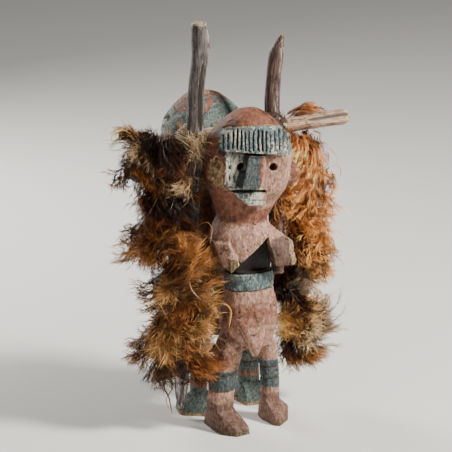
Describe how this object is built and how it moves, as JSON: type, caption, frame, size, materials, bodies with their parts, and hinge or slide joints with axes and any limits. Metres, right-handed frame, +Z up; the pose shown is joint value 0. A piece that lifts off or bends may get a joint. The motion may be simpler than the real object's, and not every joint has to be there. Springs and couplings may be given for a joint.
{
  "type": "pair of ancestor figures",
  "caption": "Carved and painted wooden ancestor figures, tied back to back with sticks, fibre and hanging feather garlands.",
  "frame": {"origin": "on the ground, under the middle of the whole bundle", "axes": "+Z up, the front figure faces -Y, the crossbar stick lies along X"},
  "size_m": [0.302, 0.1914, 0.4749],
  "materials": {
    "figure_front": "matte red ochre and blue paint, worn",
    "figure_back": "matte blue and red paint, worn to bare wood",
    "upright_stick_left": "grey weathered bark",
    "upright_stick_right": "peeled and smoked",
    "crossbar_stick": "peeled and smoked",
    "fibre_lashing_left": "dry raffia",
    "fibre_lashing_right": "fibre crusted with dark resin",
    "feather_garland_left": "brown and cream feathers",
    "feather_garland_right": "golden and tan feathers"
  },
  "bodies": {
    "root": {"figure_front": "figure_front", "figure_back": "figure_back", "upright_stick_left": "upright_stick_left", "upright_stick_right": "upright_stick_right", "crossbar_stick": "crossbar_stick", "fibre_lashing_left": "fibre_lashing_left", "fibre_lashing_right": "fibre_lashing_right", "feather_garland_left": "feather_garland_left", "feather_garland_right": "feather_garland_right"}
  },
  "joints": []
}
